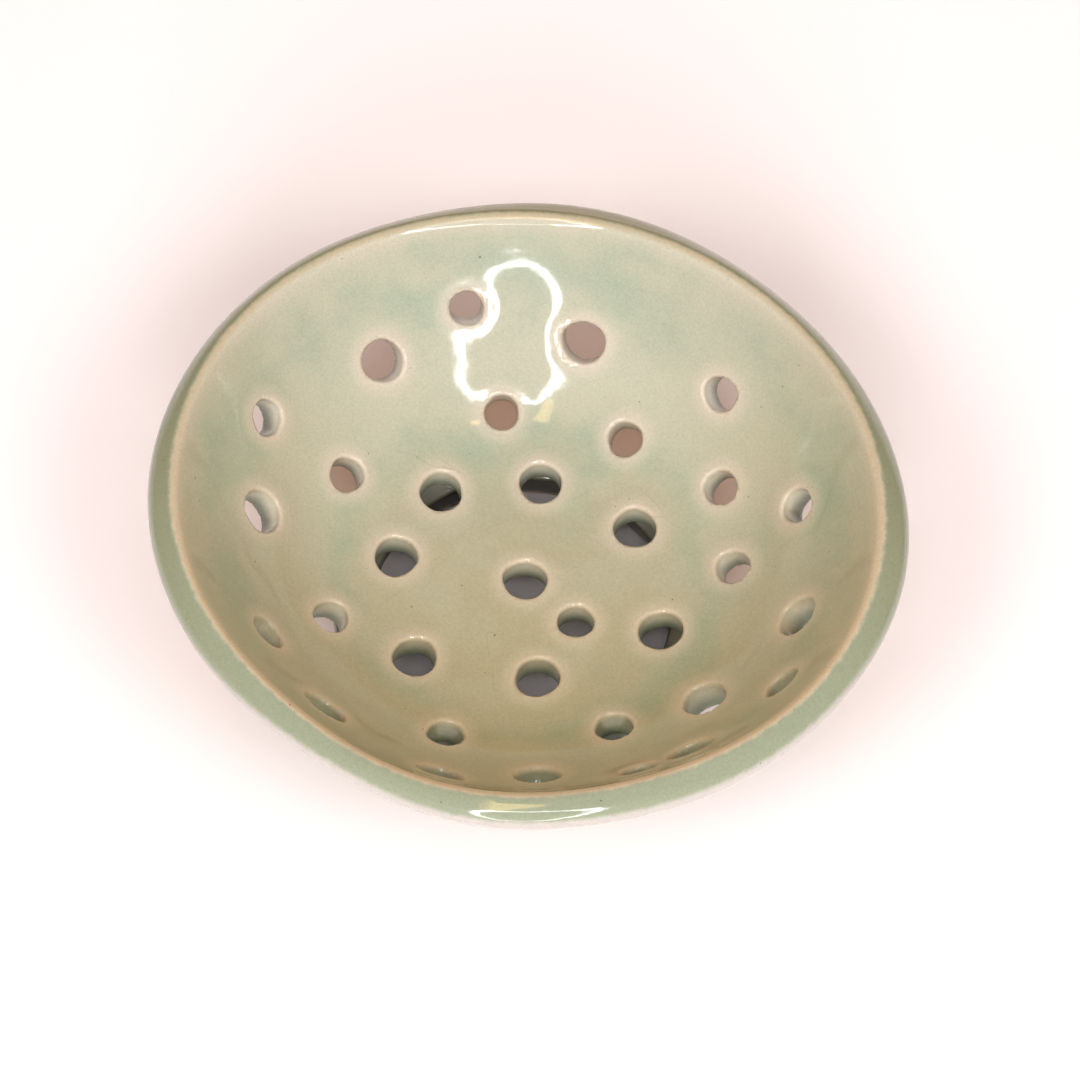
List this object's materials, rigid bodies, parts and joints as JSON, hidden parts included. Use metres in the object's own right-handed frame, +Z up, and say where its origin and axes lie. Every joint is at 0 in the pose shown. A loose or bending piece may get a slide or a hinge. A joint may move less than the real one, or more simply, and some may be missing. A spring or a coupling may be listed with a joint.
{
  "type": "flower frog",
  "caption": "Shallow hand-thrown celadon bowl pierced all over with round stem holes, standing on a low foot ring; lay it over or in a vase or dish to hold flower stems.",
  "frame": {"origin": "middle of the outline seen from above, on the resting face of the foot ring", "axes": "+Z up out of the bowl, +X along the bowl's longer way across, +Y along its shorter way across"},
  "size_m": [0.1228, 0.1172, 0.0394],
  "materials": {
    "celadon_glaze": "glossy, clear, pale green celadon over buff stoneware: greener where it pools in the throwing rings, cream to peach where it breaks thin on the lip and round the holes",
    "foot_clay": "the same celadon on the sides of the foot, thin and warm towards the bottom, with a wiped, bare, matt buff clay resting face"
  },
  "bodies": {
    "root": {"bowl": "celadon_glaze", "foot_ring": "foot_clay"}
  },
  "joints": []
}
